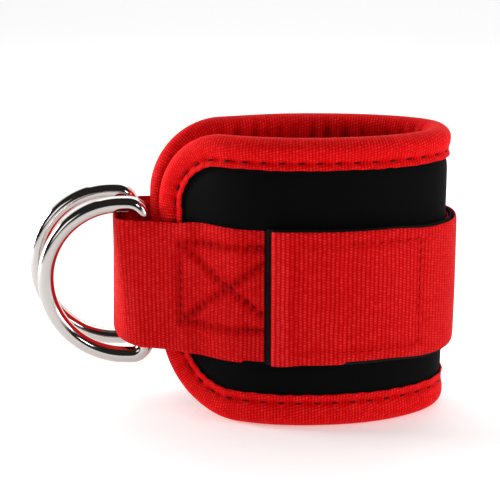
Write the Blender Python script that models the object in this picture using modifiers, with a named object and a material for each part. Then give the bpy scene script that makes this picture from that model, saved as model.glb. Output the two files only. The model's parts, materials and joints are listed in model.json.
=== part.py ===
"""Padded ankle cuff for a cable machine, with two D-rings and a hook-and-loop closure strap.

The cuff is a flat sandwich of neoprene, foam and lining, bound round its edge and bent into a
teardrop loop. A webbing strap is sewn to its front end, passes through both D-rings and runs
round the back and the right-hand end to a tail on the front.

Units are metres, +Z is up, and the front of the cuff faces -Y.
"""

import math

import bmesh
import bpy
from mathutils import Vector

# Cuff: a sandwich on a plan line, with rounded corners at both ends
CUFF_HEIGHT = 0.1075
CORNER_RADIUS = 0.034
FRONT_TOP_RADIUS = 0.028
OUTER_PANEL = (0.0020, 0.0040)
FOAM_CORE = (-0.0024, 0.0017)
INNER_LINING = (-0.0040, -0.0027)
PANEL_INSET = 0.0025
PLAN_POINTS = (
    (-0.0328, -0.0090), (-0.0180, -0.0182), (-0.0060, -0.0252), (0.0080, -0.0294),
    (0.0240, -0.0302), (0.0410, -0.0277), (0.0563, -0.0211), (0.0674, -0.0104),
    (0.0688, 0.0048), (0.0582, 0.0148), (0.0380, 0.0208), (0.0130, 0.0211),
    (-0.0110, 0.0140), (-0.0378, 0.0046),
)
STATION_SPACING = 0.0055
DIRECTION_REACH = 0.0008
CORNER_STEPS = 8

# Binding tape folded over the edge
BINDING_THICKNESS = 0.0008
BINDING_DEPTH = 0.0120
BINDING_OFFSET = 0.0047
BINDING_CHAMFER = 0.0015
BINDING_STITCH_DEPTH = 0.0090

# Webbing, hook and loop, stacked outwards from the neoprene
WEBBING_WIDTH = 0.0500
WEBBING_THICKNESS = 0.0012
TAPE_WIDTH = 0.0490
TAPE_THICKNESS = 0.0009
LAYER_GAP = 0.00025
STRAP_HEIGHT = 0.0503
SURFACE_OFFSET = OUTER_PANEL[1] + LAYER_GAP
END_LIFT = 0.0017
END_LIFT_REACH = 0.0135
END_LIFT_RAMP = 0.0080

# Places along the plan line, from the front end
BOX_STITCH_START = 0.0125
STRAP_ROOT_END = 0.0441
LOOP_START = 0.0448
TAIL_END = 0.0476
TAIL_HINGE = 0.1010
HOOK_END = 0.1900
LOOP_TO_REAR_END = 0.0340
RING_FOLD_LENGTH = 0.0320
RING_FOLD_START = 0.0040

# D-rings
RING_WIRE_RADIUS = 0.0031
RING_INNER_WIDTH = 0.0526
RING_CORNER_RADIUS = 0.0052
RING_REACH = 0.0368
RING_LOOP_GAP = 0.0007
FRONT_RING_DROP = 0.0009
REAR_RING_DROP = 0.0003
RING_CORNER_STEPS = 4
RING_ARC_STEPS = 16
FRONT_BAR = (-0.0398, -0.0095)
REAR_BAR_AHEAD = 0.0053
REAR_BAR_OUT = 0.0088
RING_LOOP_FROM = math.radians(-120)
RING_LOOP_TO = math.radians(128)
RING_LOOP_STEPS = 11

# Fold of the strap through the rings, seen from above
FOLD_POINTS = (
    (-0.0350, -0.0176), (-0.0412, -0.0158), (-0.0470, -0.0126), (-0.0507, -0.0050),
    (-0.0518, 0.0040), (-0.0515, 0.0124), (-0.0463, 0.0186), (-0.0370, 0.0202),
)
FOLD_FRONT_START = 0.0100
FOLD_REAR_REACH = 0.0140

# Sewing thread, laid just proud of the webbing
THREAD_WIDTH = 0.0008
THREAD_THICKNESS = 0.0004
THREAD_GAP = 0.0002
STITCH_INSET = 0.0070
SEAM_MARGIN = 0.0015
TAIL_SEAM_TO_HINGE = 0.0040

RED = (0.52, 0.006, 0.008, 1.0)
THREAD_RED = (0.30, 0.004, 0.006, 1.0)
BLACK = (0.006, 0.006, 0.006, 1.0)
GREY_FOAM = (0.08, 0.08, 0.08, 1.0)
STEEL = (0.78, 0.77, 0.75, 1.0)


def clear_scene():
    for thing in list(bpy.data.objects):
        bpy.data.objects.remove(thing, do_unlink=True)


def new_collection(name):
    collection = bpy.data.collections.new(name)
    bpy.context.scene.collection.children.link(collection)
    return collection


def new_material(name, colour, roughness, metallic=0.0):
    material = bpy.data.materials.new(name)
    material.use_nodes = True
    shader = material.node_tree.nodes["Principled BSDF"]
    shader.inputs["Base Color"].default_value = colour
    shader.inputs["Roughness"].default_value = roughness
    shader.inputs["Metallic"].default_value = metallic
    return material


def catmull_rom(corners, steps=12):
    """Points on a smooth line through the corners."""
    first = 2 * corners[0] - corners[1]
    last = 2 * corners[-1] - corners[-2]
    padded = [first, *corners, last]
    line = []
    for before, start, end, after in zip(padded, padded[1:], padded[2:], padded[3:]):
        for step in range(steps):
            t = step / steps
            line.append(0.5 * (
                2 * start
                + (end - before) * t
                + (2 * before - 5 * start + 4 * end - after) * t ** 2
                + (3 * start - before - 3 * end + after) * t ** 3
            ))
    line.append(corners[-1])
    return line


class PlanLine:
    """The cuff's mid line seen from above, addressed by the distance along it."""

    def __init__(self, corners):
        self.points = catmull_rom([Vector(corner) for corner in corners])
        self.distances = [0.0]
        for start, end in zip(self.points, self.points[1:]):
            self.distances.append(self.distances[-1] + (end - start).length)
        self.length = self.distances[-1]

    def centre(self, distance):
        distance = min(max(distance, 0.0), self.length)
        for index in range(len(self.points) - 1):
            if distance <= self.distances[index + 1]:
                break
        span = self.distances[index + 1] - self.distances[index]
        share = (distance - self.distances[index]) / span
        return self.points[index].lerp(self.points[index + 1], share)

    def direction(self, distance):
        ahead = self.centre(distance + DIRECTION_REACH)
        return (ahead - self.centre(distance - DIRECTION_REACH)).normalized()

    def outward(self, distance):
        along = self.direction(distance)
        return Vector((along.y, -along.x))

    def at(self, distance, offset):
        return self.centre(distance) + offset * self.outward(distance)


PLAN = PlanLine(PLAN_POINTS)


def stations(start, end):
    """Distances shared by every layer, so that neighbouring facets stay parallel."""
    corner = [CORNER_RADIUS * (1 - math.cos(math.pi / 2 * step / CORNER_STEPS))
              for step in range(CORNER_STEPS + 1)]
    straight = PLAN.length - 2 * CORNER_RADIUS
    count = round(straight / STATION_SPACING)
    middle = [CORNER_RADIUS + straight * step / count for step in range(1, count)]
    shared = corner + middle + [PLAN.length - distance for distance in reversed(corner)]
    margin = STATION_SPACING / 5
    inside = [distance for distance in shared if start + margin < distance < end - margin]
    return [start, *inside, end]


def corner_drop(distance, inset, upper):
    """How far a rounded corner cuts the panel's upper or lower edge at this distance."""
    at_front = distance < PLAN.length / 2
    radius = (FRONT_TOP_RADIUS if upper and at_front else CORNER_RADIUS) - inset
    from_end = min(distance, PLAN.length - distance) - inset
    if from_end >= radius:
        return 0.0
    return radius - math.sqrt(max(radius ** 2 - (radius - from_end) ** 2, 0.0))


def lift(distance):
    """Extra height of the webbing where it climbs over the binding of an end."""
    from_end = min(distance, PLAN.length - distance)
    ramp = (END_LIFT_REACH + END_LIFT_RAMP - from_end) / END_LIFT_RAMP
    ramp = min(max(ramp, 0.0), 1.0)
    return END_LIFT * ramp * ramp * (3 - 2 * ramp)


def layer_offset(distance, below, thickness):
    """Offset of the middle of a webbing layer that has `below` metres of layers under it."""
    return SURFACE_OFFSET + lift(distance) + below + thickness / 2


def finish(mesh, name, material, collection):
    for face in mesh.polygons:
        face.use_smooth = False
    mesh.materials.append(material)
    body = bpy.data.objects.new(name, mesh)
    collection.objects.link(body)
    return body


def solidify(body, thickness):
    modifier = body.modifiers.new("Thickness", "SOLIDIFY")
    modifier.thickness = thickness
    modifier.offset = 0.0
    modifier.use_even_offset = True


def strip(name, columns, thickness, material, collection, closed=False):
    """A bent sheet through columns of points, given its thickness by Solidify."""
    form = bmesh.new()
    rows = [[form.verts.new(point) for point in column] for column in columns]
    pairs = list(zip(rows, rows[1:]))
    if closed:
        pairs.append((rows[-1], rows[0]))
    for near, far in pairs:
        for low in range(len(near) - 1):
            form.faces.new((near[low], far[low], far[low + 1], near[low + 1]))
    bmesh.ops.recalc_face_normals(form, faces=form.faces)
    mesh = bpy.data.meshes.new(name)
    form.to_mesh(mesh)
    form.free()
    body = finish(mesh, name, material, collection)
    solidify(body, thickness)
    return body


def make_panel(name, faces, material, collection):
    """One sheet of the sandwich, between two offsets from the plan line."""
    inner, outer = faces
    columns = []
    for distance in stations(PANEL_INSET, PLAN.length - PANEL_INSET):
        low = PANEL_INSET + corner_drop(distance, PANEL_INSET, False)
        high = CUFF_HEIGHT - PANEL_INSET - corner_drop(distance, PANEL_INSET, True)
        place = PLAN.at(distance, (inner + outer) / 2)
        columns.append(((*place, low), (*place, high)))
    return strip(name, columns, outer - inner, material, collection)


def cuff_outline(inset):
    """The flat outline of the cuff: places (distance, height) with their outward directions."""
    rear = PLAN.length - CORNER_RADIUS
    along = [distance for distance in stations(0.0, PLAN.length) if distance < rear]
    low = [((distance, inset), (0.0, -1.0)) for distance in along if distance > CORNER_RADIUS]
    high = [((distance, CUFF_HEIGHT - inset), (0.0, 1.0))
            for distance in reversed(along) if distance > FRONT_TOP_RADIUS]
    turns = [math.pi / 2 * step / CORNER_STEPS for step in range(CORNER_STEPS + 1)]
    corners = (
        (rear, CORNER_RADIUS, CORNER_RADIUS, -math.pi / 2),
        (rear, CUFF_HEIGHT - CORNER_RADIUS, CORNER_RADIUS, 0.0),
        (FRONT_TOP_RADIUS, CUFF_HEIGHT - FRONT_TOP_RADIUS, FRONT_TOP_RADIUS, math.pi / 2),
        (CORNER_RADIUS, CORNER_RADIUS, CORNER_RADIUS, math.pi),
    )
    arcs = []
    for centre_distance, centre_height, radius, first in corners:
        arc = []
        for turn in turns:
            out = (math.cos(first + turn), math.sin(first + turn))
            reach = radius - inset
            arc.append(((centre_distance + reach * out[0], centre_height + reach * out[1]), out))
        arcs.append(arc)
    return low + arcs[0] + arcs[1] + high + arcs[2] + arcs[3]


def along_outline(profile, inset):
    """Columns of points that sweep a profile of (depth, offset) round the cuff's outline."""
    columns = []
    for (distance, height), out in cuff_outline(inset):
        column = []
        for depth, offset in profile:
            place = PLAN.at(distance - out[0] * depth, offset)
            column.append((*place, height - out[1] * depth))
        columns.append(column)
    return columns


def make_binding(material, collection):
    flat = BINDING_OFFSET - BINDING_CHAMFER
    profile = (
        (BINDING_DEPTH, BINDING_OFFSET), (BINDING_CHAMFER, BINDING_OFFSET), (0.0, flat),
        (0.0, -flat), (BINDING_CHAMFER, -BINDING_OFFSET), (BINDING_DEPTH, -BINDING_OFFSET),
    )
    columns = along_outline(profile, BINDING_THICKNESS / 2)
    return strip("edge_binding", columns, BINDING_THICKNESS, material, collection, closed=True)


def make_binding_stitch(name, side, material, collection):
    """The seam round the binding, on its outer leg (side 1) or its inner leg (side -1)."""
    offset = side * (BINDING_OFFSET + BINDING_THICKNESS / 2 + THREAD_GAP + THREAD_THICKNESS / 2)
    profile = (
        (BINDING_STITCH_DEPTH - THREAD_WIDTH / 2, offset),
        (BINDING_STITCH_DEPTH + THREAD_WIDTH / 2, offset),
    )
    columns = along_outline(profile, BINDING_THICKNESS / 2)
    return strip(name, columns, THREAD_THICKNESS, material, collection, closed=True)


def ribbon(name, path, width, thickness, material, collection):
    """A length of webbing or tape standing on edge along a plan path."""
    low = STRAP_HEIGHT - width / 2
    high = STRAP_HEIGHT + width / 2
    columns = [((*place, low), (*place, high)) for place in path]
    return strip(name, columns, thickness, material, collection)


def layer_path(start, end, below, thickness):
    """The plan path of a layer that follows the cuff's surface."""
    return [PLAN.at(distance, layer_offset(distance, below, thickness))
            for distance in stations(start, end)]


LOOP_BELOW = WEBBING_THICKNESS + LAYER_GAP
HOOK_BELOW = LOOP_BELOW + TAPE_THICKNESS + LAYER_GAP
STRAP_BELOW = HOOK_BELOW + TAPE_THICKNESS + LAYER_GAP


def rear_bar():
    """Where the rear ring's bar stands, in plan."""
    end = PLAN.length
    ahead = REAR_BAR_AHEAD * PLAN.direction(end)
    return PLAN.centre(end) + ahead + REAR_BAR_OUT * PLAN.outward(end)


def make_main_webbing(material, collection):
    """Webbing sewn round the cuff; its rear end folds round the rear ring's bar and back."""
    end = PLAN.length
    ahead = PLAN.direction(end)
    out = PLAN.outward(end)
    bar = rear_bar()
    radius = RING_WIRE_RADIUS + RING_LOOP_GAP + WEBBING_THICKNESS / 2
    path = layer_path(LOOP_START, end, 0.0, WEBBING_THICKNESS)
    for step in range(RING_LOOP_STEPS + 1):
        turn = RING_LOOP_FROM + (RING_LOOP_TO - RING_LOOP_FROM) * step / RING_LOOP_STEPS
        path.append(bar + radius * (math.cos(turn) * ahead + math.sin(turn) * out))
    fold = layer_path(end - RING_FOLD_LENGTH, end - RING_FOLD_START, LOOP_BELOW, WEBBING_THICKNESS)
    path.extend(reversed(fold))
    return ribbon("main_webbing", path, WEBBING_WIDTH, WEBBING_THICKNESS, material, collection)


def make_closure_strap(material, collection):
    """The strap from its sewn root, through the rings and round to the tail's hinge."""
    root = layer_path(FOLD_FRONT_START, STRAP_ROOT_END, 0.0, WEBBING_THICKNESS)
    rear_start = PLAN.length - FOLD_REAR_REACH
    wrap = layer_path(TAIL_HINGE, rear_start, STRAP_BELOW, WEBBING_THICKNESS)
    corners = [root[1], root[0], *[Vector(point) for point in FOLD_POINTS], wrap[-1], wrap[-2]]
    fold = catmull_rom(corners, steps=3)[3:-3]
    path = [*reversed(root[1:]), *fold, *reversed(wrap[:-1])]
    return ribbon("closure_strap", path, WEBBING_WIDTH, WEBBING_THICKNESS, material, collection)


def make_d_ring(name, bar, drop, material, collection):
    """A D-ring of round wire with its straight bar upright at `bar`, pointing to -X.

    It hangs `drop` metres lower than the middle of the strap.
    """
    corner = RING_CORNER_RADIUS
    half = RING_INNER_WIDTH / 2 + RING_WIRE_RADIUS
    leg = RING_REACH - half
    upper = []
    for step in range(RING_CORNER_STEPS + 1):
        turn = math.pi / 2 * step / RING_CORNER_STEPS
        across = corner * (math.cos(turn) - 1)
        upper.append((across, half + corner * (math.sin(turn) - 1)))
    arc = []
    for step in range(RING_ARC_STEPS + 1):
        turn = math.pi * step / RING_ARC_STEPS
        arc.append((-leg - half * math.sin(turn), half * math.cos(turn)))
    lower = [(across, -up) for across, up in reversed(upper)]
    outline = upper + arc + lower
    curve = bpy.data.curves.new(name, "CURVE")
    curve.dimensions = "3D"
    curve.bevel_depth = RING_WIRE_RADIUS
    curve.bevel_resolution = 2
    spline = curve.splines.new("POLY")
    spline.points.add(len(outline) - 1)
    for point, (across, up) in zip(spline.points, outline):
        point.co = (across, 0.0, up, 1.0)
    spline.use_cyclic_u = True
    curve.materials.append(material)
    ring = bpy.data.objects.new(name, curve)
    ring.location = (*bar, STRAP_HEIGHT - drop)
    collection.objects.link(ring)
    return ring


def lattice(name, start, end, low, high, height_offset, crossed, material, collection):
    """A sewn box, with or without its cross, laid on the webbing between two distances."""
    form = bmesh.new()
    corners = ((start, low), (end, low), (end, high), (start, high))
    outline = form.faces.new([form.verts.new((*corner, 0.0)) for corner in corners])
    outline.normal_update()
    faces = [outline]
    if crossed:
        faces = bmesh.ops.poke(form, faces=faces)["faces"]
    bmesh.ops.inset_individual(form, faces=faces, thickness=THREAD_WIDTH, use_even_offset=True)
    bmesh.ops.delete(form, geom=faces, context="FACES_ONLY")
    for cut in stations(start, end)[1:-1]:
        everything = form.verts[:] + form.edges[:] + form.faces[:]
        bmesh.ops.bisect_plane(form, geom=everything, dist=1e-7,
                               plane_co=(cut, 0.0, 0.0), plane_no=(1.0, 0.0, 0.0))
    bmesh.ops.remove_doubles(form, verts=form.verts, dist=1e-6)
    for vert in form.verts:
        distance, height, _ = vert.co
        place = PLAN.at(distance, height_offset + lift(distance))
        vert.co = (*place, height)
    mesh = bpy.data.meshes.new(name)
    form.to_mesh(mesh)
    form.free()
    body = finish(mesh, name, material, collection)
    solidify(body, THREAD_THICKNESS)
    return body


def make_box_stitch(name, start, end, below, crossed, material, collection):
    """Thread on top of a webbing layer that has `below` metres of layers under it."""
    low = STRAP_HEIGHT - WEBBING_WIDTH / 2 + STITCH_INSET
    high = STRAP_HEIGHT + WEBBING_WIDTH / 2 - STITCH_INSET
    top = SURFACE_OFFSET + below + WEBBING_THICKNESS + THREAD_GAP + THREAD_THICKNESS / 2
    return lattice(name, start, end, low, high, top, crossed, material, collection)


def move_origin(body, place):
    """Put the object's origin at `place` and leave its shape where it is."""
    shift = Vector(place) - body.location
    for vert in body.data.vertices:
        vert.co -= shift
    body.location = place


def centre_on_floor(collection):
    """Hang everything on one empty, so that the whole part stands centred on its origin."""
    depsgraph = bpy.context.evaluated_depsgraph_get()
    places = []
    for body in collection.objects:
        shape = body.evaluated_get(depsgraph)
        places.extend(shape.matrix_world @ vert.co for vert in shape.to_mesh().vertices)
        shape.to_mesh_clear()
    low = [min(place[axis] for place in places) for axis in range(3)]
    high = [max(place[axis] for place in places) for axis in range(3)]
    frame = bpy.data.objects.new("ankle_cuff_frame", None)
    frame.location = (-(low[0] + high[0]) / 2, -(low[1] + high[1]) / 2, -low[2])
    bodies = list(collection.objects)
    collection.objects.link(frame)
    for body in bodies:
        body.parent = frame


def build():
    clear_scene()
    cuff = new_collection("ankle_cuff")
    webbing = new_material("red_webbing", RED, 0.75)
    thread = new_material("red_thread", THREAD_RED, 0.60)
    neoprene = new_material("black_neoprene", BLACK, 0.85)
    tape = new_material("black_hook_and_loop", BLACK, 0.95)
    foam = new_material("grey_foam", GREY_FOAM, 0.95)
    steel = new_material("plated_steel", STEEL, 0.12, 1.0)

    make_panel("outer_panel", OUTER_PANEL, neoprene, cuff)
    make_panel("foam_core", FOAM_CORE, foam, cuff)
    make_panel("inner_lining", INNER_LINING, neoprene, cuff)
    make_binding(webbing, cuff)
    make_binding_stitch("outer_binding_stitch", 1, thread, cuff)
    make_binding_stitch("inner_binding_stitch", -1, thread, cuff)

    make_main_webbing(webbing, cuff)
    loop_path = layer_path(LOOP_START, PLAN.length - LOOP_TO_REAR_END, LOOP_BELOW, TAPE_THICKNESS)
    ribbon("loop_tape", loop_path, TAPE_WIDTH, TAPE_THICKNESS, tape, cuff)
    make_closure_strap(webbing, cuff)
    seam = LAYER_GAP / 2
    wrap_hook = layer_path(TAIL_HINGE + seam, HOOK_END, HOOK_BELOW, TAPE_THICKNESS)
    ribbon("wrap_hook_tape", wrap_hook, TAPE_WIDTH, TAPE_THICKNESS, tape, cuff)

    tail_path = layer_path(TAIL_END, TAIL_HINGE - 2 * seam, STRAP_BELOW, WEBBING_THICKNESS)
    tail = ribbon("strap_tail", tail_path, WEBBING_WIDTH, WEBBING_THICKNESS, webbing, cuff)
    hook_path = layer_path(TAIL_END, TAIL_HINGE - 2 * seam, HOOK_BELOW, TAPE_THICKNESS)
    tail_hook = ribbon("tail_hook_tape", hook_path, TAPE_WIDTH, TAPE_THICKNESS, tape, cuff)

    make_d_ring("front_d_ring", FRONT_BAR, FRONT_RING_DROP, steel, cuff)
    make_d_ring("rear_d_ring", rear_bar(), REAR_RING_DROP, steel, cuff)

    make_box_stitch("front_box_stitch", BOX_STITCH_START, STRAP_ROOT_END - SEAM_MARGIN,
                    0.0, True, thread, cuff)
    rear_end = PLAN.length - END_LIFT_REACH
    rear_start = PLAN.length - RING_FOLD_LENGTH + SEAM_MARGIN
    make_box_stitch("rear_box_stitch", rear_start, rear_end, LOOP_BELOW, True, thread, cuff)
    tail_stitch = make_box_stitch("tail_stitch", TAIL_END + STITCH_INSET,
                                  TAIL_HINGE - TAIL_SEAM_TO_HINGE, STRAP_BELOW, False, thread, cuff)

    hinge = (*PLAN.at(TAIL_HINGE, SURFACE_OFFSET + STRAP_BELOW + WEBBING_THICKNESS), STRAP_HEIGHT)
    for moving in (tail, tail_hook, tail_stitch):
        move_origin(moving, hinge)
    centre_on_floor(cuff)


build()
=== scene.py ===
"""Looks of the padded ankle cuff: padded band, binding, webbing, tapes, seams and D-rings.

Units are metres, +Z is up, and the strap's tail faces -Y. Everything is built in the frame of
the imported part. The band is drawn on a plan line, so most places are given as a distance along
that line, a height, and an offset outwards from it.
"""

import json
import math

import bpy
import numpy as np
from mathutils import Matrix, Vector


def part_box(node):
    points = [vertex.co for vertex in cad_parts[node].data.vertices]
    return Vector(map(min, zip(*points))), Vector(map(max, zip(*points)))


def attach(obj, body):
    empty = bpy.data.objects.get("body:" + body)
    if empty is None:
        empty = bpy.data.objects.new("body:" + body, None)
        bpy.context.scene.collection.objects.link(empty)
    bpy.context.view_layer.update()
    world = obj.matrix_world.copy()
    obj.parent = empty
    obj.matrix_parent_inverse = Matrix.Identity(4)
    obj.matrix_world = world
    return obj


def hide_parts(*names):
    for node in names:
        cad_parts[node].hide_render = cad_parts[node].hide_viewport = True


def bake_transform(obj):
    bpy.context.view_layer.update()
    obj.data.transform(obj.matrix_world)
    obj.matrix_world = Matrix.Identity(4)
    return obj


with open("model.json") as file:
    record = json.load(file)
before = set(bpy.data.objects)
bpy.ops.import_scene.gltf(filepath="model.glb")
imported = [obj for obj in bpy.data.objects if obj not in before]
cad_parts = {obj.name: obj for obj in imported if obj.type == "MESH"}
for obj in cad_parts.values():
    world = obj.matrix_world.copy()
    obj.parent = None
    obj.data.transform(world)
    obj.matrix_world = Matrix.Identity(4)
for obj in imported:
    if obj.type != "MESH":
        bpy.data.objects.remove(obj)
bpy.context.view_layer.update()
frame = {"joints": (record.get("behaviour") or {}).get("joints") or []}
JOINTS = {joint["name"]: joint for joint in frame["joints"]}

# The band, as it was cut and bent
BAND_LOW, BAND_HIGH = (corner.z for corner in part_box("edge_binding"))
BAND_HEIGHT = BAND_HIGH - BAND_LOW
LOWER_RADIUS = 0.034
UPPER_RADIUS = 0.028
BAND_HALF = 0.0040
PANEL_INSET = 0.0025
FRONT_BAR = (-0.0398, -0.0095)
PLAN_POINTS = (
    (-0.0328, -0.0090), (-0.0180, -0.0182), (-0.0060, -0.0252), (0.0080, -0.0294),
    (0.0240, -0.0302), (0.0410, -0.0277), (0.0563, -0.0211), (0.0674, -0.0104),
    (0.0688, 0.0048), (0.0582, 0.0148), (0.0380, 0.0208), (0.0130, 0.0211),
    (-0.0110, 0.0140), (-0.0378, 0.0046),
)

# Binding tape; it is folded so that its outer leg is shorter above and longer below
BINDING_HALF_THICKNESS = 0.0004
BINDING_OFFSET = 0.0041
BINDING_DEPTH = 0.0116
BINDING_LEAN = 0.0011
BINDING_FOLD = 0.0036
BINDING_SINK = 0.0004
BINDING_SEAM_DEPTH = 0.0087
BINDING_STITCH_PITCH = 0.0063

# Webbing and tapes, stacked outwards from the neoprene
STRAP_LOW, STRAP_HIGH = (corner.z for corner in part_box("closure_strap"))
STRAP_HEIGHT = (STRAP_LOW + STRAP_HIGH) / 2
WEBBING_WIDTH = STRAP_HIGH - STRAP_LOW
WEBBING_THICKNESS = 0.0012
TAPE_WIDTH = 0.0490
LOOP_TAPE_WIDTH = 0.0506
MAIN_WEBBING_TRIM = 0.0006
TAPE_THICKNESS = 0.0007
LAYER_GAP = 0.0001
SURFACE_OFFSET = BAND_HALF + LAYER_GAP
END_LIFT = 0.0017
END_LIFT_REACH = 0.0135
END_LIFT_RAMP = 0.0080
LOOP_BELOW = WEBBING_THICKNESS + LAYER_GAP
HOOK_BELOW = LOOP_BELOW + TAPE_THICKNESS + LAYER_GAP
STRAP_BELOW = HOOK_BELOW + TAPE_THICKNESS + LAYER_GAP

# Places along the plan line, from the band's front end
BOX_STITCH_START = 0.0125
BOX_STITCH_END = 0.0515
STRAP_ROOT_END = 0.0441
LOOP_START = 0.0448
TAIL_END = 0.0468
TAIL_HEM_END = 0.0706
TAIL_HINGE = 0.1010
TAIL_SPLIT = 0.1210
HOOK_START = 0.0478
HOOK_END = 0.1900
LOOP_TO_REAR_END = 0.0340
RING_FOLD_LENGTH = 0.0320
RING_FOLD_START = 0.0040

# D-rings
RING_LOW, RING_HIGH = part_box("front_d_ring")
WIRE_RADIUS = (RING_HIGH.y - RING_LOW.y) / 2
RING_HALF_HEIGHT = (RING_HIGH.z - RING_LOW.z) / 2 - WIRE_RADIUS
RING_CORNER_RADIUS = 0.0052
RING_REACH = 0.0368
RING_LOOP_GAP = 0.0007
RING_LOOP_FROM = math.radians(-120)
RING_LOOP_TO = math.radians(128)

# The strap's fold through the rings, along its upper and its lower edge, seen from above
FOLD_UPPER = (
    (-0.0345, -0.0181), (-0.0415, -0.0170), (-0.0464, -0.0160), (-0.0483, -0.0150),
    (-0.0494, -0.0130), (-0.0503, -0.0100), (-0.0509, -0.0050), (-0.0513, 0.0040),
    (-0.0514, 0.0124), (-0.0463, 0.0186), (-0.0370, 0.0202),
)
FOLD_LOWER = (
    (-0.0345, -0.0179), (-0.0397, -0.0167), (-0.0420, -0.0156), (-0.0437, -0.0139),
    (-0.0467, -0.0102), (-0.0501, -0.0040), (-0.0519, 0.0031), (-0.0528, 0.0080),
    (-0.0521, 0.0136), (-0.0468, 0.0190), (-0.0370, 0.0204),
)
FOLD_FRONT_START = 0.0100
FOLD_REAR_REACH = 0.0140

# The strap and the tapes under it sag a little where they turn round the closed end
STRAP_SAG = 0.0013
SAG_START = 0.0530
SAG_END = 0.0700

# How finely strips are drawn along and across, and how square their edges are
PATH_SPACING = 0.0008
STRIP_COLUMNS = 28
STRAP_COLUMNS = 64
STRIP_MIDDLE_SPREAD = 0.55
STRIP_SQUARENESS = 24
# Edges that bend more than this stay sharp, such as those round a strip's cut end
CAP_ANGLE = math.radians(80)


def smooth(value, low, high):
    """0 below low, 1 above high, and a smooth ramp between them."""
    share = np.clip((value - low) / (high - low), 0.0, 1.0)
    return share * share * (3 - 2 * share)


def dent(distance, width):
    """A round valley of the given width, 1 deep at its middle."""
    return np.exp(-((distance / width) ** 2))


def ramps(value, steps):
    """The sum of smooth steps, each given as its size and where it starts and ends."""
    total = np.zeros(np.shape(value))
    for size, low, high in steps:
        total = total + size * smooth(value, low, high)
    return total


def waves(place, terms):
    """The sum of sine waves along a line, each given as its size, its rate and its start."""
    return sum(size * np.sin(place * rate + start) for size, rate, start in terms)


def catmull_rom(corners, steps):
    """Points on a smooth line through the corners."""
    corners = np.asarray(corners, float)
    first = 2 * corners[0] - corners[1]
    last = 2 * corners[-1] - corners[-2]
    padded = np.vstack((first, corners, last))
    shares = np.arange(steps)[:, None] / steps
    spans = []
    for before, start, end, after in zip(padded, padded[1:], padded[2:], padded[3:]):
        spans.append(0.5 * (
            2 * start
            + (end - before) * shares
            + (2 * before - 5 * start + 4 * end - after) * shares ** 2
            + (3 * start - before - 3 * end + after) * shares ** 3
        ))
    return np.vstack((*spans, corners[-1]))


def lengths_along(line):
    """The distance along a line of points, at each of its points."""
    steps = np.linalg.norm(np.diff(line, axis=0), axis=1)
    return np.concatenate(([0.0], np.cumsum(steps)))


def unit(vectors):
    """The same directions at a length of 1."""
    return vectors / np.linalg.norm(vectors, axis=-1, keepdims=True)


def outward_of(line):
    """The unit direction to the right of a flat line's way along, at each of its points."""
    along = unit(np.gradient(line, axis=0))
    return np.stack((along[:, 1], -along[:, 0]), axis=1)


class PlanLine:
    """The band's mid line seen from above, addressed by the distance along it."""

    def __init__(self, corners):
        self.line = catmull_rom(corners, 24)
        self.distances = lengths_along(self.line)
        self.length = self.distances[-1]
        self.outward = outward_of(self.line)

    def at(self, distance, offset):
        """Plan points; past either end the line runs straight on."""
        inside = np.clip(distance, 0.0, self.length)
        centre = [np.interp(inside, self.distances, self.line[:, axis]) for axis in (0, 1)]
        out = [np.interp(inside, self.distances, self.outward[:, axis]) for axis in (0, 1)]
        past = distance - inside
        return np.stack((
            centre[0] + offset * out[0] - past * out[1],
            centre[1] + offset * out[1] + past * out[0],
        ), axis=-1)


SHIFT = np.array(JOINTS["front_ring_swing"]["pos_m"][:2]) - np.array(FRONT_BAR)
PLAN = PlanLine(np.array(PLAN_POINTS) + SHIFT)


def on_band(distance, height, offset):
    """Points in space from a distance along the band, a height and an offset outwards."""
    distance, height, offset = np.broadcast_arrays(distance, height, offset)
    plan = PLAN.at(distance, offset)
    return np.concatenate((plan, height[..., None]), axis=-1)


def lift(distance):
    """Extra offset of the webbing where it climbs over the binding of an end."""
    from_end = np.minimum(distance, PLAN.length - distance)
    return END_LIFT * (1 - smooth(from_end, END_LIFT_REACH, END_LIFT_REACH + END_LIFT_RAMP))


def layer_offset(distance, below, thickness):
    """Offset of the middle of a layer that has `below` metres of layers under it."""
    return SURFACE_OFFSET + lift(distance) + below + thickness / 2


# Meshes


def add_object(name, data):
    """An object in the scene, holding a mesh, a lamp or a camera."""
    body = bpy.data.objects.new(name, data)
    bpy.context.scene.collection.objects.link(body)
    return body


def new_mesh(name, points, faces, uvs=None, pull=None):
    """A smooth-shaded mesh object.

    uvs holds one (along, across) pair for each face corner. The last argument holds, for each point,
    how much painted shade darkens the cloth there, up to 1; below 0 it is a painted highlight that
    makes the cloth paler.
    """
    mesh = bpy.data.meshes.new(name)
    mesh.from_pydata([tuple(point) for point in points], [], faces)
    if uvs is not None:
        layer = mesh.uv_layers.new(name="weave")
        layer.data.foreach_set("uv", np.asarray(uvs, np.float32).ravel())
    # Painted shade for the cloth's colour, and painted highlight where it is below 0
    if pull is not None:
        layer = mesh.attributes.new("pull", "FLOAT", "POINT")
        layer.data.foreach_set("value", np.asarray(pull, np.float32).ravel())
    mesh.shade_smooth()
    mesh.update()
    return add_object(name, mesh)


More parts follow.
